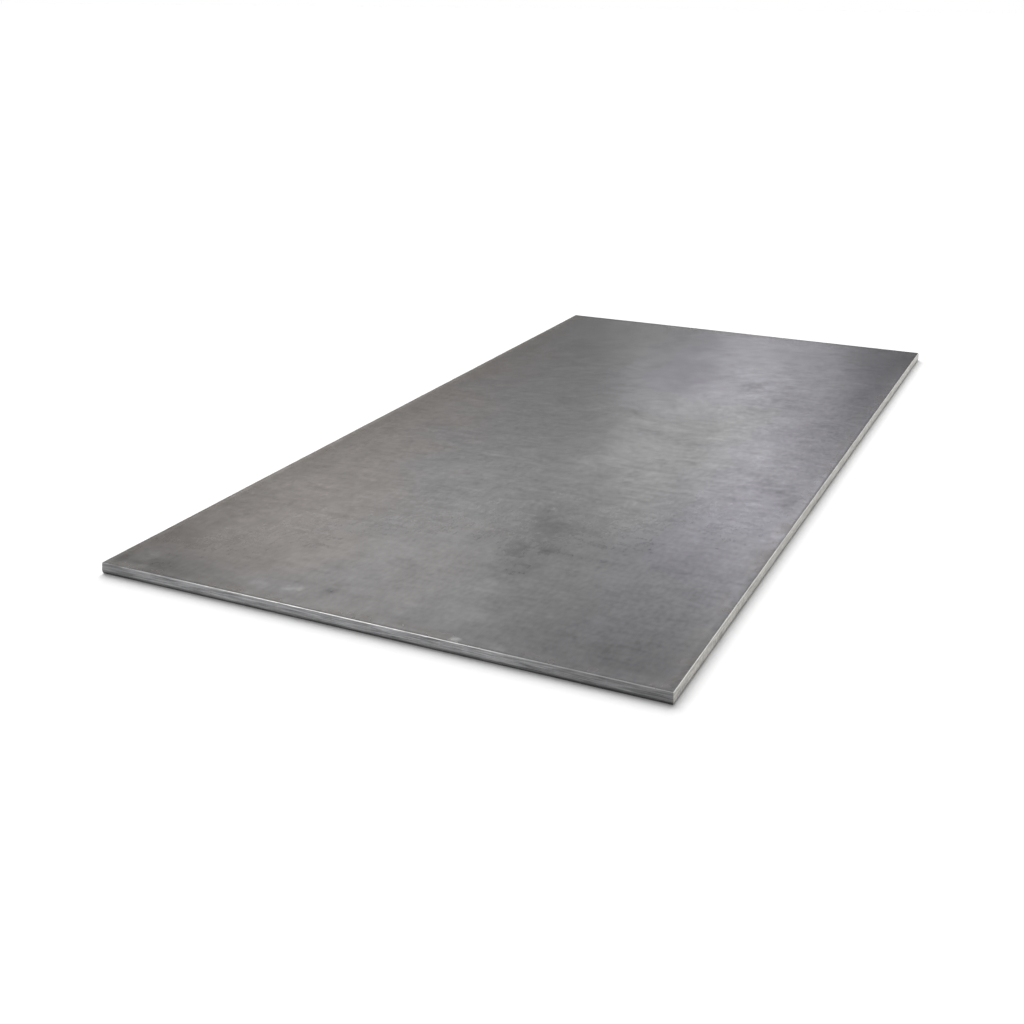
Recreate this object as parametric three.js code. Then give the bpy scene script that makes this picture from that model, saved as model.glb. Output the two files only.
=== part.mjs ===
// A steel plate of stock size with sheared edges, lying flat.
//
// Millimetres. X runs along the plate's length, Y across its width and Z up through its thickness.
// The origin is the centre of the bottom face.
//
// The plate is one solid, lofted through rings. Each ring is the plate's outline, drawn in by an
// inset and lifted to a height, and the section of the cut edge says which inset goes with which
// height. All four sides are cut by shears that entered from below, so the edge has, from the
// bottom up: a drawn-in lower edge, an upright land that the blade polished, a torn face that
// falls back by the blades' clearance, and a top edge that is rounded where the burr was dressed.

import * as THREE from 'three';
import { toCreasedNormals } from 'three/addons/utils/BufferGeometryUtils.js';

// Stock size. The polished land is the widest part of the edge, so it sets length and width.
const PLATE_LENGTH = 2000;
const PLATE_WIDTH = 1000;
const PLATE_THICKNESS = 20;

// Section of the cut edge, from the bottom face up.
const ROLLOVER_REACH = 2.5; // width of the drawn-in band, on the bottom face
const ROLLOVER_HEIGHT = 4; // height of the drawn-in band, on the cut
const LAND_HEIGHT = 4; // height of the upright land that the blade polished
const SHEAR_CLEARANCE = 1; // distance the torn face has fallen back by its top
const ARRIS_RADIUS = 1.5; // rounding of the top edge

// Outline.
const CORNER_RADIUS = 1.5; // rounding of the four upright corners

// Facets of each rounded form.
const ROLLOVER_FACETS = 8;
const ARRIS_FACETS = 6;
const CORNER_FACETS = 6;
const CREASE_ANGLE = THREE.MathUtils.degToRad(20); // steeper meetings of two facets are shown sharp

const millSteel = new THREE.MeshStandardMaterial({
  name: 'mill_steel',
  color: 0x807f7d,
  roughness: 0.45,
  metalness: 0.85,
});

// The drawn-in lower edge: a quarter ellipse that leaves the bottom face and ends upright.
function rolloverPoints() {
  const ellipse = new THREE.EllipseCurve(
    ROLLOVER_REACH, ROLLOVER_HEIGHT,
    ROLLOVER_REACH, ROLLOVER_HEIGHT,
    1.5 * Math.PI, Math.PI, true,
  );
  return ellipse.getPoints(ROLLOVER_FACETS);
}

// The dressed top edge: a quarter circle from the top of the torn face onto the top face.
function arrisPoints() {
  const circle = new THREE.EllipseCurve(
    SHEAR_CLEARANCE + ARRIS_RADIUS, PLATE_THICKNESS - ARRIS_RADIUS,
    ARRIS_RADIUS, ARRIS_RADIUS,
    Math.PI, 0.5 * Math.PI, true,
  );
  return circle.getPoints(ARRIS_FACETS);
}

// Section of the cut edge as points of (inset, height), from the bottom face to the top face.
function edgeSection() {
  const topOfLand = new THREE.Vector2(0, ROLLOVER_HEIGHT + LAND_HEIGHT);
  return [...rolloverPoints(), topOfLand, ...arrisPoints()];
}

// The plate's outline, drawn in by an inset, counter-clockwise as seen from above.
function outlineRing(inset, height) {
  const centreX = PLATE_LENGTH / 2 - CORNER_RADIUS - inset;
  const centreY = PLATE_WIDTH / 2 - CORNER_RADIUS - inset;
  const corners = [[1, 1], [-1, 1], [-1, -1], [1, -1]];
  return corners.flatMap(([sideX, sideY], quarter) => {
    const arc = new THREE.EllipseCurve(
      sideX * centreX, sideY * centreY,
      CORNER_RADIUS, CORNER_RADIUS,
      quarter * 0.5 * Math.PI, (quarter + 1) * 0.5 * Math.PI,
    );
    return arc.getPoints(CORNER_FACETS).map(({ x, y }) => new THREE.Vector3(x, y, height));
  });
}

// Triangles of the walls between rings that lie one above the other.
function wallTriangles(ringCount, ringLength) {
  const triangles = [];
  for (let ring = 0; ring < ringCount - 1; ring += 1) {
    for (let point = 0; point < ringLength; point += 1) {
      const next = (point + 1) % ringLength;
      const below = ring * ringLength;
      const above = below + ringLength;
      triangles.push([below + point, below + next, above + next]);
      triangles.push([below + point, above + next, above + point]);
    }
  }
  return triangles;
}

// Triangles that close a ring with a flat face looking up.
function faceTriangles(ring, firstIndex) {
  return THREE.ShapeUtils.triangulateShape(ring, [])
    .map((triangle) => triangle.map((index) => firstIndex + index));
}

// A closed body through rings that lie one above the other, the lowest first.
function loftRings(rings) {
  const ringLength = rings[0].length;
  const lastRing = rings.length - 1;
  const bottomFace = faceTriangles(rings[0], 0).map((triangle) => triangle.reverse());
  const topFace = faceTriangles(rings[lastRing], lastRing * ringLength);
  const walls = wallTriangles(rings.length, ringLength);
  const geometry = new THREE.BufferGeometry().setFromPoints(rings.flat());
  geometry.setIndex([...bottomFace, ...walls, ...topFace].flat());
  return geometry;
}

function steelPlate() {
  const rings = edgeSection().map(({ x: inset, y: height }) => outlineRing(inset, height));
  const plate = new THREE.Mesh(toCreasedNormals(loftRings(rings), CREASE_ANGLE), millSteel);
  plate.name = 'steel_plate';
  return plate;
}

const part = new THREE.Group();
part.add(steelPlate());

export default part;
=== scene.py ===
"""The looks of a sheared steel plate, lying flat on a white studio floor. Metres, +Z up.

The plate is one mesh, in the place of the plain CAD plate. Its cut edge is lofted round the outline
with the wander, ridges and nicks that a shear leaves, and its two faces are grids that are zipped
to that edge. Names: the ends are the two short sides, at -X (near) and +X (far), and the sides are
the two long ones, at -Y (right) and +Y (left).
"""

import math

import bpy
from mathutils import Matrix, Quaternion, Vector, noise


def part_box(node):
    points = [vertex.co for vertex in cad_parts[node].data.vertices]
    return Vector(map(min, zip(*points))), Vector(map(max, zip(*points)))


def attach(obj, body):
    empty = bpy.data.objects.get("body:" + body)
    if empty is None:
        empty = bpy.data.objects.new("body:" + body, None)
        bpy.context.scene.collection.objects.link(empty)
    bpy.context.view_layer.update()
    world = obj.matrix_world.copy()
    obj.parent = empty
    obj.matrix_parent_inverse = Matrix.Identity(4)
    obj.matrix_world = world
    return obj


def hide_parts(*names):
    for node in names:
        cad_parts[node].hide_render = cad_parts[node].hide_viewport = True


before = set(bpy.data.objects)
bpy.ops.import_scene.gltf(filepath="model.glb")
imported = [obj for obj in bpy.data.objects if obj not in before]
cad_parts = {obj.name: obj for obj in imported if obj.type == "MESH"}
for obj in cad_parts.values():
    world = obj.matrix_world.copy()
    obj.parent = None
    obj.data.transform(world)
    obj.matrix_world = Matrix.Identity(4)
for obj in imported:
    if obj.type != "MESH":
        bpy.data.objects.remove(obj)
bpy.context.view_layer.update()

# ---------------------------------------------------------------- sizes of the plate

NODE = "steel_plate"
LOW, HIGH = (Vector(corner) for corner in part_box(NODE))
HALF_LENGTH = (HIGH.x - LOW.x) / 2
HALF_WIDTH = (HIGH.y - LOW.y) / 2
THICKNESS = HIGH.z - LOW.z

MM = 0.001

# The section of the cut edge and the outline's corners, as the CAD part has them
ROLLOVER_REACH = 2.5 * MM
ROLLOVER_HEIGHT = 4 * MM
LAND_HEIGHT = 4 * MM
SHEAR_CLEARANCE = 1 * MM
ARRIS_RADIUS = 1.5 * MM
CORNER_RADIUS = 1.5 * MM

# How far the cut strays from that section along the edge
ROLLOVER_WANDER = 0.4 * MM
LAND_WANDER = 0.9 * MM
TEAR_RELIEF = 0.14 * MM
ARRIS_WANDER = 0.45 * MM
NICK_DEPTH = 1.1 * MM

# Lengths over which it strays
SLOW_WANDER = 90 * MM
QUICK_WANDER = 17 * MM
NICK_SPACING = 38 * MM
TEAR_LENGTH = 45 * MM
TEAR_PITCH = 1.7 * MM

# How flat the faces are
WAVE_HEIGHT = 0.35 * MM
WAVE_LENGTH = 450 * MM

# ---------------------------------------------------------------- camera

FRAME_PX = 1024
SENSOR_MM = 36
FOCAL_LENGTH_PX = 1275.58
CENTRE_SHIFT_PX = 24
CAMERA_AZIMUTH = -65.363
CAMERA_ELEVATION = 21.857
CAMERA_ROLL = 0.394
CAMERA_PLACE = (-2.4521, -0.9584, 0.8888)
CAMERA_REACH = 500


def make_camera():
    azimuth, elevation = math.radians(CAMERA_AZIMUTH), math.radians(CAMERA_ELEVATION)
    back = Vector((
        math.sin(azimuth) * math.cos(elevation),
        -math.cos(azimuth) * math.cos(elevation),
        math.sin(elevation),
    ))
    right = Vector((0, 0, 1)).cross(back).normalized()
    right.rotate(Quaternion(back, math.radians(CAMERA_ROLL)))
    up = back.cross(right)
    data = bpy.data.cameras.new("camera")
    data.sensor_width = SENSOR_MM
    data.lens = FOCAL_LENGTH_PX * SENSOR_MM / FRAME_PX
    data.shift_x = -CENTRE_SHIFT_PX / FRAME_PX
    data.clip_end = CAMERA_REACH
    camera = bpy.data.objects.new("camera", data)
    turn = Matrix((right, up, back)).transposed().to_4x4()
    camera.matrix_world = Matrix.Translation(CAMERA_PLACE) @ turn
    bpy.context.collection.objects.link(camera)
    bpy.context.scene.camera = camera


# ---------------------------------------------------------------- shader building


# Where Blender's mix node keeps its factor and its two colours, and the colour it makes
MIX_INPUTS = (0, 6, 7)
MIX_OUTPUT = 2


class Shader:
    """One node tree, built by short calls that take plain values or sockets."""

    def __init__(self, tree):
        self.nodes = tree.nodes
        self.links = tree.links
        self.nodes.clear()

    def put(self, socket, value):
        if isinstance(value, bpy.types.NodeSocket):
            self.links.new(value, socket)
        else:
            socket.default_value = value

    def node(self, kind, settings=(), **inputs):
        made = self.nodes.new("ShaderNode" + kind)
        for name, value in dict(settings).items():
            setattr(made, name, value)
        for name, value in inputs.items():
            self.put(made.inputs[name.replace("_", " ")], value)
        return made

    def math(self, operation, *values, clamp=False):
        made = self.node("Math", {"operation": operation, "use_clamp": clamp})
        for socket, value in zip(made.inputs, values):
            self.put(socket, value)
        return made.outputs[0]

    def vector(self, operation, *values):
        made = self.node("VectorMath", {"operation": operation})
        for socket, value in zip(made.inputs, values):
            self.put(socket, value)
        return made.outputs["Value" if operation == "LENGTH" else "Vector"]

    def total(self, *values):
        added = values[0]
        for value in values[1:]:
            added = self.math("ADD", added, value)
        return added

    def product(self, *values):
        made = values[0]
        for value in values[1:]:
            made = self.math("MULTIPLY", made, value)
        return made

    def place(self):
        """The plate's own coordinates, in metres."""
        return self.node("TexCoord").outputs["Object"]

    def noise(self, place, size, detail=2.0, roughness=0.5, output="Fac"):
        """Noise whose blots are about the given size, or sizes along X, Y and Z, in metres."""
        if isinstance(size, tuple):
            place = self.vector("DIVIDE", place, size)
            size = 1.0
        made = self.node(
            "TexNoise", Vector=place, Scale=1 / size, Detail=detail, Roughness=roughness,
        )
        return made.outputs[output]

    def sway(self, amount, place, size, **settings):
        """Noise about zero, that reaches about half the amount either way."""
        centred = self.math("SUBTRACT", self.noise(place, size, **settings), 0.5)
        return self.math("MULTIPLY", centred, amount)

    def ramp(self, value, start, end, low=0.0, high=1.0):
        """Goes smoothly from low to high as the value goes from start to end."""
        made = self.node(
            "MapRange", {"interpolation_type": "SMOOTHSTEP"},
            Value=value, From_Min=start, From_Max=end, To_Min=low, To_Max=high,
        )
        return made.outputs["Result"]

    def band(self, value, middle, half):
        """One where the value is at the middle, none where it is the half width or more away."""
        away = self.math("ABSOLUTE", self.math("SUBTRACT", value, middle))
        return self.ramp(away, half, 0.0)

    def mix(self, factor, first, second):
        """A mix of two colours: none of the second at factor 0, all of it at 1."""
        made = self.node("Mix", {"data_type": "RGBA"})
        for socket, value in zip(MIX_INPUTS, (factor, first, second)):
            self.put(made.inputs[socket], value)
        return made.outputs[MIX_OUTPUT]

    def scaled(self, colour, value):
        """The colour or vector times the value."""
        made = self.node("VectorMath", {"operation": "SCALE"})
        self.put(made.inputs[0], colour)
        self.put(made.inputs["Scale"], value)
        return made.outputs["Vector"]

    def bump(self, height, distance, strength=1.0, under=None):
        made = self.node("Bump", Height=height, Distance=distance, Strength=strength)
        if under is not None:
            self.put(made.inputs["Normal"], under)
        return made.outputs["Normal"]


def new_material(name):
    material = bpy.data.materials.new(name)
    material.use_nodes = True
    return material, Shader(material.node_tree)


def metal(shader, colour, roughness, normal, metallic, grazing_tint, gloss=0.5):
    """The surface shader.

    The grazing tint is how bright the metal stays when seen edge-on, and gloss is how strongly the
    share that isn't metal mirrors.
    """
    surface = shader.node(
        "BsdfPrincipled", Base_Color=colour, Metallic=metallic, Roughness=roughness,
    )
    surface.inputs["Specular Tint"].default_value = (grazing_tint, grazing_tint, grazing_tint, 1)
    surface.inputs["Specular IOR Level"].default_value = gloss
    shader.put(surface.inputs["Normal"], normal)
    out = shader.node("OutputMaterial")
    shader.put(out.inputs["Surface"], surface.outputs[0])


# ---------------------------------------------------------------- the mill faces

# Marks on the top face, in millimetres from its centre: what it is, middle, half size, turn in
# degrees, and how much darker (below 0) or paler (above 0) it makes the steel. They were placed one
# by one, from what the photo shows. The lines are marks too, with borders that keep nearly straight.
MARKS = (
    ("handling smudge", (-620, -114), (190, 62), -6, -0.12),
    ("its dark core", (-462, -68), (30, 16), 8, -0.24),
    ("its second core", (-510, -80), (22, 18), 0, -0.20),
    ("its third core", (-536, -119), (46, 38), 0, -0.14),
    ("its fourth core", (-626, -146), (32, 28), 0, -0.09),
    ("its left lobe", (-757, -129), (46, 40), 0, -0.12),
    ("its low lobe", (-707, -150), (38, 26), 0, -0.10),
    ("its high lobe", (-655, -95), (46, 28), 0, -0.11),
    ("its near tail", (-640, -212), (26, 90), 2, -0.12),
    ("its middle tail", (-580, -225), (24, 90), 0, -0.10),
    ("its far tail", (-532, -220), (20, 76), 0, -0.08),
    ("rubbed patch before the smudge", (-807, -121), (34, 40), 0, 0.09),
    ("rubbed patch beside the core", (-514, -21), (34, 24), 0, 0.10),
    ("roller streak", (30, -140), (34, 118), -12, -0.05),
    ("its left half", (47, -86), (22, 48), -10, -0.15),
    ("its right half", (21, -178), (24, 56), -12, -0.06),
    ("its bare flank", (84, -121), (13, 30), -12, 0.10),
    ("round smudge", (154, -3), (38, 30), 0, -0.17),
    ("smudge past the middle", (540, -107), (34, 38), 0, -0.10),
    ("drag mark past the middle", (502, -192), (64, 28), -35, -0.26),
    ("its near end", (452, -190), (34, 34), 0, -0.20),
    ("pale patch by the far end", (900, -200), (28, 64), 0, 0.10),
    ("dull spot at the far end", (976, 8), (24, 60), 0, -0.15),
    ("second pale patch by the far end", (921, -79), (34, 42), 0, 0.07),
    ("near scuff", (-961, 218), (17, 20), -14, 0.26),
    ("its bright end", (-946, 154), (10, 14), -20, 0.50),
    ("stain past the scuff", (-929, 100), (30, 15), 10, -0.20),
    ("edge scuff", (-993, -154), (10, 12), 0, 0.80),
    ("rubbed margin past the stain", (-962, 40), (30, 48), 0, 0.12),
    ("right corner scuff", (-986, -478), (13, 15), 0, 0.24),
    ("left corner, handled pale", (-950, 458), (75, 48), 0, 0.40),
    ("its bright rim", (-987, 452), (14, 60), 0, 0.34),
    ("left corner stain", (-962, 405), (20, 40), 10, -0.06),
    ("left corner blotch", (-963, 477), (18, 13), 0, -0.32),
    ("second blotch there", (-977, 448), (14, 15), 0, -0.30),
    ("third blotch there", (-966, 421), (12, 16), 0, -0.13),
    ("rubbed spot there", (-944, 446), (18, 16), 0, 0.24),
    ("rubbed rim past the left corner", (-885, 488), (100, 15), 0, 0.20),
    ("dull right corner", (-925, -400), (90, 60), 0, -0.06),
    ("paler face before the smudge", (-752, -235), (80, 75), 0, 0.07),
    ("paler face past the streak", (330, -98), (170, 60), 0, 0.22),
    ("paler face before the streak", (-185, -50), (160, 54), 0, 0.17),
    ("paler face beside the scuff", (-757, 108), (72, 110), 0, 0.10),
    ("paler face toward the near right", (-491, -340), (70, 55), 0, 0.11),
    ("paler face by the far half's middle", (715, 15), (60, 60), 0, 0.15),
    ("paler face by the right side", (660, -420), (130, 48), 0, 0.13),
    ("rubbed margin before the dents", (-400, -480), (95, 24), 0, 0.20),
    ("near dent", (-254, -460), (22, 15), 0, -0.24),
    ("far dent", (-221, -471), (26, 14), 0, -0.20),
    ("slinging mark", (640, 330), (120, 46), 12, -0.06),
    ("far smudge", (250, 390), (110, 40), 0, -0.05),
    # The next three are painted shade: they darken the colour to tone down the panels' reflection
    # there
    ("painted shade on the reflection by the right side", (170, -395), (170, 85), 0, -0.07),
    ("painted shade on the reflection in the middle", (190, -250), (230, 85), 0, -0.14),
    ("painted shade on the reflection toward the near right", (-185, -385), (120, 60), 0, -0.12),
    ("dull patch past the middle", (395, -285), (150, 66), 0, -0.18),
    ("dull patch before the streak", (-70, -312), (120, 44), 0, -0.12),
    ("dull patch past the smudge", (-196, -160), (50, 34), 0, -0.16),
    ("dull patch by the left side", (-695, 425), (125, 60), 0, -0.12),
    ("dull patch by the round smudge", (222, 10), (40, 34), 0, -0.08),
)

LINES = (
    ("water mark", (-653, 242), (10, 185), 0, -0.13),
    ("second water mark", (-783, 176), (8, 110), -2, -0.11),
    ("dry line", (-686, -271), (8, 90), 0, 0.08),
    ("dry band", (-229, 143), (12, 120), 0, 0.08),
)

# A mark sets in at the first share of its half size and is full at the second
MARK_RIM, MARK_HEART = 1.3, 0.15
# How large the rags in a mark's rim are, and how far they pull the rim of a mark and of a line
RAG_SIZE = 26 * MM
MARK_RAGGEDNESS = 34 * MM
LINE_RAGGEDNESS = 12 * MM

# From here on, ramps are given as where they start and end, followed by their values there if those
# aren't 0 and 1. Those named BY_NEAR run in from the near end, BY_LEFT in from the left side and
# BY_FAR in from the far end.

# The blotches within the marks: their size, and the ramp from the noise to how strong a mark stays
BLOTCH_SIZE = 20 * MM
BLOTCHES = (0.3, 0.65, 0.5, 1.0)

# The mottling of the scale in layers: amount, sizes along X, Y and Z, detail and roughness
MOTTLING = (
    (0.43, (80 * MM, 52 * MM, 1), 3.2, 0.88),
    (0.22, (14 * MM, 8 * MM, 1), 0.5, 0.7),
    (0.25, (17 * MM, 64 * MM, 1), 1.0, 0.7),
)
# How strong the mottling is
MOTTLE_BY_NEAR = (300 * MM, 1700 * MM, 0.95, 1.05)
MOTTLE_BY_LEFT = (550 * MM, 900 * MM, 0.0, 0.2)
NEAR_RIGHT_MOTTLE_BY_LEFT = (200 * MM, 500 * MM, 0.0, 0.14)
NEAR_RIGHT_MOTTLE_BY_NEAR = (1100 * MM, 500 * MM)
# The broad clouds under it
CLOUD_AMOUNT, CLOUD_SIZE = 0.11, 380 * MM

# Where the tints lie. The brown one's border slants and wavers.
BROWN_BY_NEAR = (20 * MM, 170 * MM, 0.5, 1.0)
BROWN_BY_LEFT = (510 * MM, 240 * MM)
BROWN_SLANT = 0.2
FAINT_BY_NEAR = (700 * MM, 350 * MM, 0.0, 0.3)
FAINT_BY_LEFT = (740 * MM, 480 * MM)
FAR_VIOLET_BY_NEAR = (1100 * MM, 1500 * MM, 0.0, 0.85)
FAR_VIOLET_BY_LEFT = (240 * MM, 520 * MM)
RIGHT_VIOLET_BY_NEAR = (150 * MM, 480 * MM, 0.25, 0.8)
RIGHT_VIOLET_BY_LEFT = (680 * MM, 880 * MM)
VIOLET_BY_WARMTH = (0.3, 1.0, 1.0, 0.2)
VIOLET_MOTTLE = 0.6
BROWN_WAVER = 300 * MM
TINT_SIZE = 140 * MM

# Strips along the edges, as ramps in from the edge. Their borders stray, some of them by only a
# share of the amount.
BORDER_STRAY, BORDER_STRAY_SIZE = 34 * MM, (30 * MM, 20 * MM, 1)
LITTLE_STRAY = 0.3
HANDLED_STRIP = (34 * MM, 12 * MM)
FLAKED_STRIP = (14 * MM, 3 * MM)
RIGHT_LINE = (17 * MM, 6 * MM)
RIGHT_STRIP = (62 * MM, 14 * MM)
FAR_RIM = (26 * MM, 6 * MM)
LEFT_RIM = (17 * MM, 4 * MM)
LEFT_STRIP = (100 * MM, 20 * MM)

# How much paler or darker the strips are. The last is a share of what the right side's two change.
HANDLED_CHANGE = 0.08
FLAKED_CHANGE = 0.10
RIGHT_LINE_CHANGE_BY_NEAR = (300 * MM, 800 * MM, -0.14, 0.12)
RIGHT_STRIP_CHANGE_BY_NEAR = (450 * MM, 900 * MM, 0.0, 0.16)
FAR_RIM_CHANGE = -0.16
LEFT_RIM_CHANGE_BY_NEAR = (1200 * MM, 2000 * MM, 0.34, 0.18)
LEFT_STRIP_CHANGE = -0.07
RIGHT_CHANGE_BY_FAR = (60 * MM, 330 * MM, -0.8, 1.0)

FACE_GREY = 0.128
NEUTRAL = (1.0, 1.0, 1.01)
WARM = (1.066, 1.0, 0.96)
COOL = (1.02, 1.0, 1.10)
RUST = (0.138, 0.124, 0.108)

# The faint rust along the edges: a ramp in from them, and one of the noise that breaks it up
RUST_STRENGTH = 0.3
RUST_STRIP = (45 * MM, 6 * MM)
RUST_PATCHES = (0.35, 0.7)
RUST_PATCH_SIZE = 36 * MM

# How rough and how metallic the scale is. Its smears are given by amount, size and detail.
FACE_ROUGHNESS = 0.23
FACE_SMEARS = (
    (0.08, 55 * MM, 3),
    (0.03, 16 * MM, 1),
)
RUST_ROUGHNESS = 0.2
FACE_METALLIC = 0.65
FACE_GRAZING_TINT = 0.45

# The fine relief of the scale, as rolled
PEEL_SIZE, PEEL_DEPTH = 26 * MM, 0.06 * MM
GRAIN_SIZE, GRAIN_DEPTH = 3 * MM, 0.006 * MM


def marks_at(shader, marks, place):
    """How much darker or paler a table of marks makes the top face, about zero."""
    change = 0.0
    for name, middle, half, turn, depth in marks:
        where = shader.node("Mapping", {"vector_type": "TEXTURE", "label": name}, Vector=place)
        where.inputs["Location"].default_value = (middle[0] * MM, middle[1] * MM, THICKNESS)
        where.inputs["Rotation"].default_value = (0, 0, math.radians(turn))
        where.inputs["Scale"].default_value = (half[0] * MM, half[1] * MM, 1)
        reach = shader.vector("LENGTH", where.outputs[0])
        change = shader.total(change, shader.ramp(reach, MARK_RIM, MARK_HEART, 0.0, depth))
    return change


def face_marks(shader, place):
    """All marks and lines of the top face, with ragged rims and blotched within."""
    rags = shader.noise(place, RAG_SIZE, detail=2, roughness=0.6, output="Color")
    offset = shader.vector("SUBTRACT", rags, (0.5, 0.5, 0.5))
    ragged = shader.vector("ADD", place, shader.scaled(offset, MARK_RAGGEDNESS))
    straight = shader.vector("ADD", place, shader.scaled(offset, LINE_RAGGEDNESS))
    blotched = shader.ramp(shader.noise(place, BLOTCH_SIZE, detail=2), *BLOTCHES)
    marks = shader.total(marks_at(shader, MARKS, ragged), marks_at(shader, LINES, straight))
    return shader.product(marks, blotched)


def face_tone(shader, place, near, left):
    """How pale the mill scale is, about one.

    The mottling is a little stronger toward the far end, along the right side and in the right
    half of the near end.
    """
    mottle = shader.total(*(
        shader.sway(amount, place, size, detail=detail, roughness=roughness)
        for amount, size, detail, roughness in MOTTLING
    ))
    near_right = shader.product(
        shader.ramp(left, *NEAR_RIGHT_MOTTLE_BY_LEFT),
        shader.ramp(near, *NEAR_RIGHT_MOTTLE_BY_NEAR),
    )
    strength = shader.total(
        shader.ramp(near, *MOTTLE_BY_NEAR),
        shader.ramp(left, *MOTTLE_BY_LEFT),
        near_right,
    )
    clouds = shader.sway(CLOUD_AMOUNT, place, CLOUD_SIZE, detail=2)
    return shader.total(1.0, clouds, shader.product(mottle, strength))


def warm_tint(shader, place, near, left):
    """How warm the scale is: brown along the left side, and faintly over most of the near half."""
    wavering = shader.sway(BROWN_WAVER, place, TINT_SIZE, detail=3)
    reach = shader.total(left, shader.product(near, BROWN_SLANT), wavering)
    brown = shader.product(
        shader.ramp(reach, *BROWN_BY_LEFT),
        shader.ramp(near, *BROWN_BY_NEAR),
    )
    faint = shader.product(
        shader.ramp(near, *FAINT_BY_NEAR),
        shader.ramp(left, *FAINT_BY_LEFT),
    )
    return shader.math("MAXIMUM", brown, faint)


def cool_tint(shader, place, near, left, warm):
    """How violet the scale is: over the far half and along the right side, where it isn't warm."""
    far_half = shader.product(
        shader.ramp(near, *FAR_VIOLET_BY_NEAR),
        shader.ramp(left, *FAR_VIOLET_BY_LEFT),
    )
    right_band = shader.product(
        shader.ramp(near, *RIGHT_VIOLET_BY_NEAR),
        shader.ramp(left, *RIGHT_VIOLET_BY_LEFT),
    )
    cool = shader.math("MAXIMUM", far_half, right_band)
    mottle = shader.sway(VIOLET_MOTTLE, place, TINT_SIZE, detail=3)
    cool = shader.math("ADD", cool, mottle, clamp=True)
    return shader.product(cool, shader.ramp(warm, *VIOLET_BY_WARMTH))


def face_tint(shader, place, near, left):
    """The colour cast of the scale."""
    warm = warm_tint(shader, place, near, left)
    cool = cool_tint(shader, place, near, left, warm)
    return shader.mix(cool, shader.mix(warm, (*NEUTRAL, 1), (*WARM, 1)), (*COOL, 1))


def edge_distances(shader, place):
    """Distances in from the near end, the far end, the right side and the left side."""
    apart = shader.node("SeparateXYZ", Vector=place)
    x, y = apart.outputs["X"], apart.outputs["Y"]
    return (
        shader.math("ADD", x, HALF_LENGTH),
        shader.math("SUBTRACT", HALF_LENGTH, x),
        shader.math("ADD", y, HALF_WIDTH),
        shader.math("SUBTRACT", HALF_WIDTH, y),
    )


def face_margins(shader, place, near, far, right, left):
    """How much paler or darker the strips along the four edges are, about zero."""
    stray = shader.sway(BORDER_STRAY, place, BORDER_STRAY_SIZE, detail=2, roughness=0.6)

    def strip(distance, ramp, raggedness=1.0):
        """One along an edge, none farther in, with a border that strays."""
        ragged = shader.math("ADD", distance, shader.product(stray, raggedness))
        return shader.ramp(ragged, *ramp)

    near_or_right = shader.math("MINIMUM", near, right)
    line_change = shader.ramp(near, *RIGHT_LINE_CHANGE_BY_NEAR)
    strip_change = shader.ramp(near, *RIGHT_STRIP_CHANGE_BY_NEAR)
    rim_change = shader.ramp(near, *LEFT_RIM_CHANGE_BY_NEAR)
    by_far = shader.ramp(far, *RIGHT_CHANGE_BY_FAR)
    return shader.total(
        shader.product(strip(near_or_right, HANDLED_STRIP), HANDLED_CHANGE),
        shader.product(strip(near, FLAKED_STRIP), FLAKED_CHANGE),
        shader.product(strip(right, RIGHT_LINE, LITTLE_STRAY), line_change, by_far),
        shader.product(strip(right, RIGHT_STRIP), strip_change, by_far),
        shader.product(shader.ramp(far, *FAR_RIM), FAR_RIM_CHANGE),
        shader.product(strip(left, LEFT_RIM, LITTLE_STRAY), rim_change),
        shader.product(strip(left, LEFT_STRIP), LEFT_STRIP_CHANGE),
    )


def face_rust(shader, place, near, far, right, left):
    """How rusty the scale is: faintly so, in patches along the edges."""
    ends = shader.math("MINIMUM", near, far)
    sides = shader.math("MINIMUM", right, left)
    rim = shader.math("MINIMUM", ends, sides)
    patches = shader.ramp(shader.noise(place, RUST_PATCH_SIZE, detail=2), *RUST_PATCHES)
    return shader.product(shader.ramp(rim, *RUST_STRIP), patches, RUST_STRENGTH)


def mill_face(name, marked):
    """Hot rolled scale: dull grey, cloudy, faintly brown and violet, with handled margins."""
    material, shader = new_material(name)
    place = shader.place()
    distances = edge_distances(shader, place)
    near, _, _, left = distances
    tone = shader.total(
        face_tone(shader, place, near, left),
        face_margins(shader, place, *distances),
    )
    if marked:
        tone = shader.total(tone, face_marks(shader, place))
    tint = face_tint(shader, place, near, left)
    rusty = face_rust(shader, place, *distances)
    colour = shader.scaled(tint, shader.product(tone, FACE_GREY))
    colour = shader.mix(rusty, colour, (*RUST, 1))
    smears = (
        shader.sway(amount, place, size, detail=detail)
        for amount, size, detail in FACE_SMEARS
    )
    roughness = shader.total(FACE_ROUGHNESS, *smears, shader.product(rusty, RUST_ROUGHNESS))
    peel = shader.bump(shader.noise(place, PEEL_SIZE, detail=2), PEEL_DEPTH)
    grain = shader.noise(place, GRAIN_SIZE, detail=2, roughness=0.6)
    relief = shader.bump(grain, GRAIN_DEPTH, under=peel)
    metal(shader, colour, roughness, relief, FACE_METALLIC, FACE_GRAZING_TINT, gloss=0.0)
    return material


# ---------------------------------------------------------------- the cut edges

END_TORN = (0.268, 0.269, 0.274)
# A side's torn face is painted paler than an end's: painted light for the glare a long side shows seen
# nearly edge-on
SIDE_TORN_PAINTED_PALE = (0.47, 0.455, 0.425)
# Bare steel of the worn top edge, with a painted highlight that makes it much paler than steel
EDGE_BARE_AND_HIGHLIGHT = (0.8, 0.79, 0.765)
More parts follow.
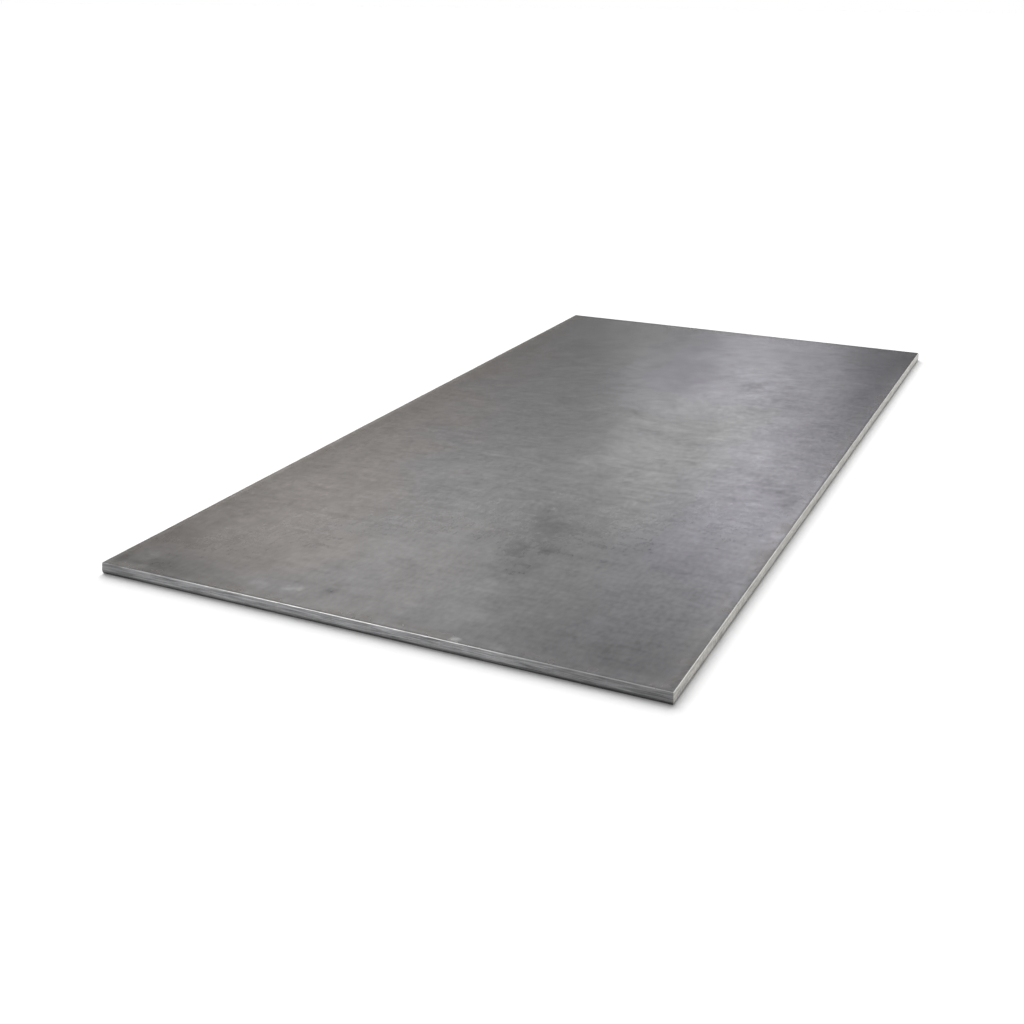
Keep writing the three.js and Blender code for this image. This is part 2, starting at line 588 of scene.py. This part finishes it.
# Painted shade for the foot of a cut edge, where it meets the floor
EDGE_FOOT_SHADE = (0.085, 0.084, 0.084)
EDGE_SCALE = (0.165, 0.164, 0.167)
EDGE_METALLIC = 0.8
EDGE_RELIEF = 0.12 * MM

# How rough the cut is, how that varies, and what the bare line of the top edge adds to it
EDGE_ROUGHNESS = 0.42
EDGE_SMEAR, EDGE_SMEAR_SIZE = 0.16, 8 * MM
BARE_POLISH = -0.12

# How bare the top edge of a side is rubbed, with a painted highlight on it. On an end it is barest,
# and its painted highlight brightest, here, a little left of its middle.
SIDE_RUBBED_AND_HIGHLIT = 0.8
BAREST_AND_BRIGHTEST = 30 * MM

# Ramps of how bare the top edge of an end is, with its painted highlight, by the distance from that
# place and toward the left corner, and of how much of its brightness the end keeps toward its two
# corners. All but the first run across the plate, with the middle at 0 and the left side above it.
BARE_AND_HIGHLIT_BY_DISTANCE = (360 * MM, 60 * MM, 0.24, 1.0)
BARE_AND_HIGHLIT_BY_LEFT_CORNER = (260 * MM, 400 * MM, 1.0, 0.6)
KEPT_BY_RIGHT_CORNER = (-190 * MM, -380 * MM, 1.0, 0.68)
KEPT_BY_LEFT_CORNER = (410 * MM, 475 * MM, 1.0, 0.64)

# Sizes along the edge and up it: of the lines along it, the lines up it, the mottling, the bare
# patches of its top edge with their painted highlight, and what makes its levels stray
COMB_SIZE = (60 * MM, 2.1 * MM, 1)
TICK_SIZE = (3.2 * MM, 16 * MM, 1)
EDGE_MOTTLE_SIZE = (22 * MM, 7 * MM, 1)
BARE_AND_HIGHLIT_PATCH_SIZE = (55 * MM, 20 * MM, 1)
LEVEL_STRAY_SIZE = (30 * MM, 30 * MM, 1)

# Amounts of the mottling and of what makes the levels stray, and the ramp of the bare patches,
# which carry the painted highlight
EDGE_MOTTLE = 0.5
LEVEL_STRAY = 2.6 * MM
BARE_AND_HIGHLIT_PATCHES = (0.3, 0.5, 0.5, 1.0)

# Dark score lines along the edge: height, half width and how much darker
SCORES = (
    (16.4 * MM, 1.6 * MM, -0.17),
    (10.4 * MM, 1.4 * MM, -0.12),
)

# Ramp down the edge, from where the painted shade of the foot starts to where it is full
FOOT = (7.5 * MM, 3.0 * MM)

# Ramps of the Z of the surface's normal: the bare line of the top edge with its painted highlight,
# and the scale above it
BARE_AND_HIGHLIT_LINE = (0.25, 0.5)
SCALE_ABOVE = (0.78, 0.93)


def end_wear_and_highlight(shader, across):
    """How bare the top edge of an end is rubbed, with its painted highlight, and how much of its
    brightness the end keeps.
    """
    away = shader.math("ABSOLUTE", shader.math("SUBTRACT", across, BAREST_AND_BRIGHTEST))
    rubbed = shader.product(
        shader.ramp(away, *BARE_AND_HIGHLIT_BY_DISTANCE),
        shader.ramp(across, *BARE_AND_HIGHLIT_BY_LEFT_CORNER),
    )
    kept = shader.product(
        shader.ramp(across, *KEPT_BY_RIGHT_CORNER),
        shader.ramp(across, *KEPT_BY_LEFT_CORNER),
    )
    return rubbed, kept


def scored_lines(shader, level):
    """How much darker the score lines make the edge, about zero."""
    return shader.total(*(
        shader.product(shader.band(level, height, half), change)
        for height, half, change in SCORES
    ))


def bare_and_highlit_arris(shader, flat, rubbed, colour):
    """Adds the bare line of the top edge, with its painted highlight, and the scale above it.
    Returns the colour and the line.
    """
    looks_up = shader.node("SeparateXYZ", Vector=shader.node("NewGeometry").outputs["Normal"])
    line = shader.ramp(looks_up.outputs["Z"], *BARE_AND_HIGHLIT_LINE)
    scale = shader.ramp(looks_up.outputs["Z"], *SCALE_ABOVE)
    patches = shader.noise(flat, BARE_AND_HIGHLIT_PATCH_SIZE, detail=4, roughness=0.6)
    patchy = shader.ramp(patches, *BARE_AND_HIGHLIT_PATCHES)
    colour = shader.mix(shader.product(patchy, rubbed, line), colour, (*EDGE_BARE_AND_HIGHLIGHT, 1))
    return shader.mix(scale, colour, (*EDGE_SCALE, 1)), line


def cut_edge(name, torn_colour, combing, ticking, foot_shade_depth, is_end):
    """A sheared edge: worn arris that is bare steel with a painted highlight, torn face, polished land
    and a drawn-in foot darkened with painted shade.

    Combing is how strong the lines along the edge are, ticking how strong those up it are, and
    the last of the three how dark the painted shade at the foot is.
    """
    material, shader = new_material(name)
    apart = shader.node("SeparateXYZ", Vector=shader.place())
    across, height = apart.outputs["Y"], apart.outputs["Z"]
    # One of X and Y is nearly constant along an edge, so that their sum runs along it
    along = shader.math("ADD", apart.outputs["X"], across)
    flat = shader.node("CombineXYZ", X=along, Y=height).outputs["Vector"]
    rubbed, kept = end_wear_and_highlight(shader, across) if is_end else (SIDE_RUBBED_AND_HIGHLIT, 1.0)
    combed = shader.sway(combing, flat, COMB_SIZE, detail=2, roughness=0.7)
    ticked = shader.sway(ticking, flat, TICK_SIZE, detail=3, roughness=0.65)
    mottled = shader.sway(EDGE_MOTTLE, flat, EDGE_MOTTLE_SIZE, detail=4, roughness=0.6)
    stray = shader.sway(LEVEL_STRAY, flat, LEVEL_STRAY_SIZE, detail=4, roughness=0.65)
    level = shader.math("ADD", height, stray)
    tone = shader.total(1.0, combed, ticked, mottled, scored_lines(shader, level))
    # The foot is darkened with painted shade, where the edge meets the floor
    foot = shader.ramp(level, *FOOT, 0.0, foot_shade_depth)
    colour = shader.mix(foot, shader.scaled(torn_colour, tone), (*EDGE_FOOT_SHADE, 1))
    # The bare line of the top edge carries a painted highlight
    colour, line = bare_and_highlit_arris(shader, flat, rubbed, shader.scaled(colour, kept))
    roughness = shader.total(
        EDGE_ROUGHNESS,
        shader.product(line, BARE_POLISH),
        shader.sway(EDGE_SMEAR, flat, EDGE_SMEAR_SIZE, detail=3),
    )
    relief = shader.bump(shader.total(combed, ticked), EDGE_RELIEF)
    metal(shader, colour, roughness, relief, EDGE_METALLIC, grazing_tint=1.0)
    return material


# ---------------------------------------------------------------- the plate's mesh

# The materials of the mesh, in their order
TOP_SLOT, BOTTOM_SLOT, END_SLOT, SIDE_SLOT = range(4)

STATION_STEP = 5 * MM
CORNER_STEPS = 6
ROLLOVER_STEPS = 7
LAND_STEPS = 2
TEAR_STEPS = 9
ARRIS_STEPS = 6
TOP_STEP = 10 * MM
BOTTOM_STEP = 20 * MM
MARGIN = 8 * MM

# The bake map: how much of it a metre takes, the gap between islands, and the height of a row that
# holds a cut edge, whose section is spread over the whole row.
TOP_SCALE = 0.485
BOTTOM_SCALE = 0.388
MAP_GAP = 0.006
ROW_HEIGHT = 0.028
# For each side, its row and how many islands stand before it there. The two ends share a row.
MAP_ROWS = ((0, 0), (2, 0), (1, 0), (2, 1))

CORNERS = ((1, 1), (-1, 1), (-1, -1), (1, -1))

# Each thing that wanders along the edge or over the face has its own layer of noise
REACH_LAYER, FOOT_LAYER, LAND_LAYER, ARRIS_LAYER, NICK_LAYER, WAVE_LAYER = range(1, 7)
# Nicks are where the noise rises above this
NICK_THRESHOLD = 0.45
# Two vertices whose places along an edge differ by less than this count as abreast
ABREAST = 1e-7


class Station:
    """One place on the outline: the section of the cut edge stands here."""

    def __init__(self, place, inward, side):
        self.place = place
        self.inward = inward
        self.side = side


def outline_stations():
    """Stations round the outline, counter-clockwise. Side 0 is the left one, 1 the near end."""
    stations = []
    reach = Vector((HALF_LENGTH - CORNER_RADIUS, HALF_WIDTH - CORNER_RADIUS))
    for quarter, corner in enumerate(CORNERS):
        corner = Vector(corner)
        centre = Vector((corner.x * reach.x, corner.y * reach.y))
        for step in range(CORNER_STEPS + 1):
            angle = (quarter + step / CORNER_STEPS) * math.pi / 2
            ray = Vector((math.cos(angle), math.sin(angle)))
            side = (quarter if step > CORNER_STEPS / 2 else quarter - 1) % 4
            stations.append(Station(centre + CORNER_RADIUS * ray, -corner, side))
        outward = Vector((round(math.cos(angle)), round(math.sin(angle))))
        next_corner = Vector(CORNERS[(quarter + 1) % 4])
        start = stations[-1].place
        end = Vector((next_corner.x * reach.x, next_corner.y * reach.y)) + CORNER_RADIUS * outward
        count = round((end - start).length / STATION_STEP)
        for step in range(1, count):
            stations.append(Station(start.lerp(end, step / count), -outward, quarter))
    return stations


def wander(place, length, layer, octaves=2):
    """Smooth noise from about -1 to 1, that changes over the given length."""
    spot = Vector((place.x / length, place.y / length, layer))
    return noise.fractal(spot, 1.0, 2.0, octaves)


def edge_section(place):
    """(inset, height) pairs of the cut edge at a place on the outline, from the bottom up."""
    reach = ROLLOVER_REACH + ROLLOVER_WANDER * wander(place, SLOW_WANDER, REACH_LAYER)
    foot = ROLLOVER_HEIGHT + ROLLOVER_WANDER * wander(place, SLOW_WANDER, FOOT_LAYER)
    land = ROLLOVER_HEIGHT + LAND_HEIGHT
    land += LAND_WANDER * wander(place, QUICK_WANDER, LAND_LAYER, octaves=4)
    radius = ARRIS_RADIUS + ARRIS_WANDER * wander(place, QUICK_WANDER, ARRIS_LAYER, octaves=3)
    nick = max(0.0, wander(place, NICK_SPACING, NICK_LAYER) - NICK_THRESHOLD) * NICK_DEPTH
    clearance = SHEAR_CLEARANCE + nick
    shoulder = THICKNESS - radius
    points = []
    for step in range(ROLLOVER_STEPS + 1):
        turn = step / ROLLOVER_STEPS * math.pi / 2
        points.append((reach * (1 - math.sin(turn)), foot * (1 - math.cos(turn))))
    for step in range(1, LAND_STEPS + 1):
        points.append((0.0, foot + (land - foot) * step / LAND_STEPS))
    for step in range(1, TEAR_STEPS + 1):
        part = step / TEAR_STEPS
        height = land + (shoulder - land) * part
        spot = Vector((place.x / TEAR_LENGTH, place.y / TEAR_LENGTH, height / TEAR_PITCH))
        middling = min(1.0, 4 * part * (1 - part))
        points.append((clearance * part + TEAR_RELIEF * noise.noise(spot) * middling, height))
    for step in range(1, ARRIS_STEPS + 1):
        turn = step / ARRIS_STEPS * math.pi / 2
        inset = clearance + radius * (1 - math.cos(turn))
        points.append((inset, shoulder + radius * math.sin(turn)))
    return points


class PlateMesh:
    """Collects the plate's vertices, faces, materials and bake map."""

    def __init__(self):
        self.verts = []
        self.faces = []
        self.slots = []
        self.bake_map = []

    def vertex(self, x, y, z):
        """A new vertex. The higher it is, the more it follows the waves of the top face."""
        lift = WAVE_HEIGHT * wander(Vector((x, y)), WAVE_LENGTH, WAVE_LAYER) * z / THICKNESS
        self.verts.append((x, y, z + lift))
        return len(self.verts) - 1

    def face(self, corners, slot, mapped):
        self.faces.append(corners)
        self.slots.append(slot)
        self.bake_map.extend(mapped)

    def flat_face(self, corners, slot):
        """A face of the top or the bottom, with its corners counter-clockwise as seen from above."""
        corners = corners if slot == TOP_SLOT else corners[::-1]
        self.face(corners, slot, [flat_spot(self.verts[corner], slot) for corner in corners])


def flat_spot(place, slot):
    """Where a point of the top or the bottom lies in the bake map."""
    x, y = place[0], place[1]
    if slot == TOP_SLOT:
        return (
            MAP_GAP + (HALF_LENGTH + x) * TOP_SCALE,
            MAP_GAP + (HALF_WIDTH + y) * TOP_SCALE,
        )
    past_top = 2 * MAP_GAP + 2 * HALF_WIDTH * TOP_SCALE
    return (
        MAP_GAP + (HALF_LENGTH - x) * BOTTOM_SCALE,
        past_top + (HALF_WIDTH + y) * BOTTOM_SCALE,
    )


def edge_spot(place, side, rise):
    """Where a point of the cut edge lies in the bake map. It has risen by a share of the section."""
    x, y = place[0], place[1]
    along = (HALF_LENGTH - x, HALF_WIDTH - y, HALF_LENGTH + x, HALF_WIDTH + y)[side]
    row, before = MAP_ROWS[side]
    start = MAP_GAP + before * (2 * HALF_WIDTH * TOP_SCALE + MAP_GAP)
    past_faces = 3 * MAP_GAP + 2 * HALF_WIDTH * (TOP_SCALE + BOTTOM_SCALE)
    past_rows = row * (ROW_HEIGHT + MAP_GAP)
    return (start + along * TOP_SCALE, past_faces + past_rows + rise * ROW_HEIGHT)


def edge_rings(plate, stations):
    """The vertices of the cut edge, as rings one above the other."""
    sections = [edge_section(station.place) for station in stations]
    rings = []
    for level in range(len(sections[0])):
        ring = []
        for station, section in zip(stations, sections):
            inset, height = section[level]
            at = station.place + station.inward * inset
            ring.append(plate.vertex(at.x, at.y, height))
        rings.append(ring)
    return rings


def add_edge(plate, stations):
    """The cut edge, as rings of quads. Returns its lowest and its highest ring."""
    rings = edge_rings(plate, stations)
    count = len(stations)
    for level, (lower, upper) in enumerate(zip(rings, rings[1:])):
        rises = [(level + step) / (len(rings) - 1) for step in (0, 0, 1, 1)]
        for point in range(count):
            after = (point + 1) % count
            side = stations[after].side
            corners = (lower[point], lower[after], upper[after], upper[point])
            places = [plate.verts[corner] for corner in corners]
            mapped = [edge_spot(spot, side, rise) for spot, rise in zip(places, rises)]
            plate.face(corners, END_SLOT if side % 2 else SIDE_SLOT, mapped)
    return rings[0], rings[-1]


def add_grid(plate, height, step, slot):
    """A flat grid inside the margin. Returns its rim, counter-clockwise, as one list for each side."""
    half_x, half_y = HALF_LENGTH - MARGIN, HALF_WIDTH - MARGIN
    across = round(2 * half_x / step)
    down = round(2 * half_y / step)
    columns = [-half_x + 2 * half_x * i / across for i in range(across + 1)]
    rows = []
    for j in range(down + 1):
        y = -half_y + 2 * half_y * j / down
        rows.append([plate.vertex(x, y, height) for x in columns])
    for row, above in zip(rows, rows[1:]):
        for i in range(across):
            plate.flat_face((row[i], row[i + 1], above[i + 1], above[i]), slot)
    left = rows[-1][::-1]
    near = [row[0] for row in reversed(rows)]
    right = rows[0]
    far = [row[-1] for row in rows]
    return [left, near, right, far]


def zip_strip(plate, outer, inner, along, slot):
    """Triangles between two rows of vertices that run the same way."""
    def run(index):
        return Vector(plate.verts[index][:2]).dot(along)

    i, j = 0, 0
    while i < len(outer) - 1 or j < len(inner) - 1:
        step_outer = j == len(inner) - 1
        if not step_outer and i < len(outer) - 1:
            step_outer = run(outer[i + 1]) <= run(inner[j + 1]) + ABREAST
        if step_outer:
            triangle = (outer[i], outer[i + 1], inner[j])
            i += 1
        else:
            triangle = (outer[i], inner[j + 1], inner[j])
            j += 1
        plate.flat_face(triangle, slot)


def zip_rim(plate, ring, rim, stations, slot):
    """Closes the gap between the cut edge and a face's grid."""
    for side, inner in enumerate(rim):
        corner, after = Vector(CORNERS[side]), Vector(CORNERS[(side + 1) % 4])
        members = [index for index, station in enumerate(stations) if station.side == side]
        # The last side runs on past the end of the list, so its first stations aren't its start
        first = members[0] if side < 3 else next(i for i in members if i > len(stations) / 2)
        outer = [ring[(first - 1 + step) % len(ring)] for step in range(len(members) + 1)]
        zip_strip(plate, outer, inner, (after - corner).normalized(), slot)


def plate_mesh():
    plate = PlateMesh()
    stations = outline_stations()
    lowest, highest = add_edge(plate, stations)
    top_rim = add_grid(plate, THICKNESS, TOP_STEP, TOP_SLOT)
    zip_rim(plate, highest, top_rim, stations, TOP_SLOT)
    bottom_rim = add_grid(plate, 0.0, BOTTOM_STEP, BOTTOM_SLOT)
    zip_rim(plate, lowest, bottom_rim, stations, BOTTOM_SLOT)
    mesh = bpy.data.meshes.new("plate")
    mesh.from_pydata(plate.verts, [], plate.faces)
    mesh.materials.append(mill_face("mill_face_top", marked=True))
    mesh.materials.append(mill_face("mill_face_bottom", marked=False))
    mesh.materials.append(
        cut_edge("cut_end", END_TORN, combing=2.4, ticking=0.3, foot_shade_depth=0.75, is_end=True)
    )
    mesh.materials.append(
        cut_edge("cut_side", SIDE_TORN_PAINTED_PALE, combing=1.6, ticking=1.2, foot_shade_depth=0.5, is_end=False)
    )
    for face, slot in zip(mesh.polygons, plate.slots):
        face.material_index = slot
        face.use_smooth = True
    bake_map = mesh.uv_layers.new(name="OFBake")
    bake_map.data.foreach_set("uv", [number for spot in plate.bake_map for number in spot])
    return mesh


def make_plate():
    plate = bpy.data.objects.new("plate", plate_mesh())
    bpy.context.collection.objects.link(plate)
    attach(plate, "root")
    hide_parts(NODE)


# ---------------------------------------------------------------- studio

FLOOR_HALF = 150
# The floor lies this far under the plate, so that the two don't share a plane
FLOOR_GAP = 0.2 * MM
FLOOR_COLOUR = (0.94, 0.94, 0.94, 1)
FLOOR_GLOW = 0.04
# How bright matt surfaces see the sky, which eyes and mirrors see at 1
SKY_LEVEL = 0.26

# Directions are in degrees, azimuth from +X toward +Y
KEY_AZIMUTH, KEY_ELEVATION, KEY_SPREAD = 34, 46, 62
KEY_LEVEL = 0.78

PANEL_DISTANCE = 15
# Name, the azimuths and elevations that it spans, and brightness
PANELS = (
    ("low_strip", (12, 20.5), (16.5, 21), 7.4),
    ("tall_strip", (8.5, 15.5), (11.5, 28.5), 3.7),
    ("back_panel", (17.5, 45.5), (18.5, 25.5), 3.65),
    ("high_bar", (27, 42.5), (25.5, 28.5), 4.3),
    ("left_panel", (139, 154), (16, 32), 5.0),
    ("right_panel", (-60, -35), (14, 26), 2.2),
)


def sky_direction(azimuth, elevation):
    azimuth, elevation = math.radians(azimuth), math.radians(elevation)
    return Vector((
        math.cos(azimuth) * math.cos(elevation),
        math.sin(azimuth) * math.cos(elevation),
        math.sin(elevation),
    ))


def seen_by_eyes(shader):
    """One for camera, mirror and glass rays, none for the rays that light matt surfaces."""
    path = shader.node("LightPath").outputs
    seen = shader.math("MAXIMUM", path["Is Camera Ray"], path["Is Glossy Ray"])
    return shader.math("MAXIMUM", seen, path["Is Transmission Ray"])


def floor_paint():
    material, shader = new_material("studio_floor")
    paint = shader.node("BsdfDiffuse", Color=FLOOR_COLOUR)
    glow = shader.node("Emission", Strength=shader.product(seen_by_eyes(shader), FLOOR_GLOW))
    both = shader.node("AddShader")
    shader.put(both.inputs[0], paint.outputs[0])
    shader.put(both.inputs[1], glow.outputs[0])
    out = shader.node("OutputMaterial")
    shader.put(out.inputs["Surface"], both.outputs[0])
    return material


def make_floor():
    mesh = bpy.data.meshes.new("floor")
    rim = [(x * FLOOR_HALF, y * FLOOR_HALF, -FLOOR_GAP) for x, y in CORNERS]
    mesh.from_pydata(rim, [], [(0, 1, 2, 3)])
    mesh.materials.append(floor_paint())
    floor = bpy.data.objects.new("floor", mesh)
    bpy.context.collection.objects.link(floor)


def make_sky():
    world = bpy.data.worlds.new("studio")
    bpy.context.scene.world = world
    world.use_nodes = True
    shader = Shader(world.node_tree)
    level = shader.ramp(seen_by_eyes(shader), 0, 1, SKY_LEVEL, 1.0)
    sky = shader.node("Background", Color=(1, 1, 1, 1), Strength=level)
    out = shader.node("OutputWorld")
    shader.put(out.inputs["Surface"], sky.outputs[0])


def aim_lamp(name, data, place):
    lamp = bpy.data.objects.new(name, data)
    lamp.location = place
    lamp.rotation_euler = (-place).to_track_quat("-Z", "Y").to_euler()
    bpy.context.collection.objects.link(lamp)
    return lamp


def make_key():
    """A wide soft light behind the plate's far left corner, that only matt surfaces see."""
    data = bpy.data.lights.new("key", "SUN")
    data.angle = math.radians(KEY_SPREAD)
    data.energy = KEY_LEVEL * math.pi / math.sin(math.radians(KEY_ELEVATION))
    lamp = aim_lamp("key", data, PANEL_DISTANCE * sky_direction(KEY_AZIMUTH, KEY_ELEVATION))
    lamp.visible_glossy = False


def make_panels():
    for name, azimuths, elevations, brightness in PANELS:
        data = bpy.data.lights.new(name, "AREA")
        data.shape = "RECTANGLE"
        azimuth, elevation = sum(azimuths) / 2, sum(elevations) / 2
        width = math.radians(azimuths[1] - azimuths[0]) * math.cos(math.radians(elevation))
        height = math.radians(elevations[1] - elevations[0])
        data.size = PANEL_DISTANCE * width
        data.size_y = PANEL_DISTANCE * height
        data.energy = brightness * math.pi * data.size * data.size_y
        aim_lamp(name, data, PANEL_DISTANCE * sky_direction(azimuth, elevation))


make_camera()
make_plate()
make_floor()
make_sky()
make_key()
make_panels()
bpy.context.scene.view_settings.view_transform = "Standard"
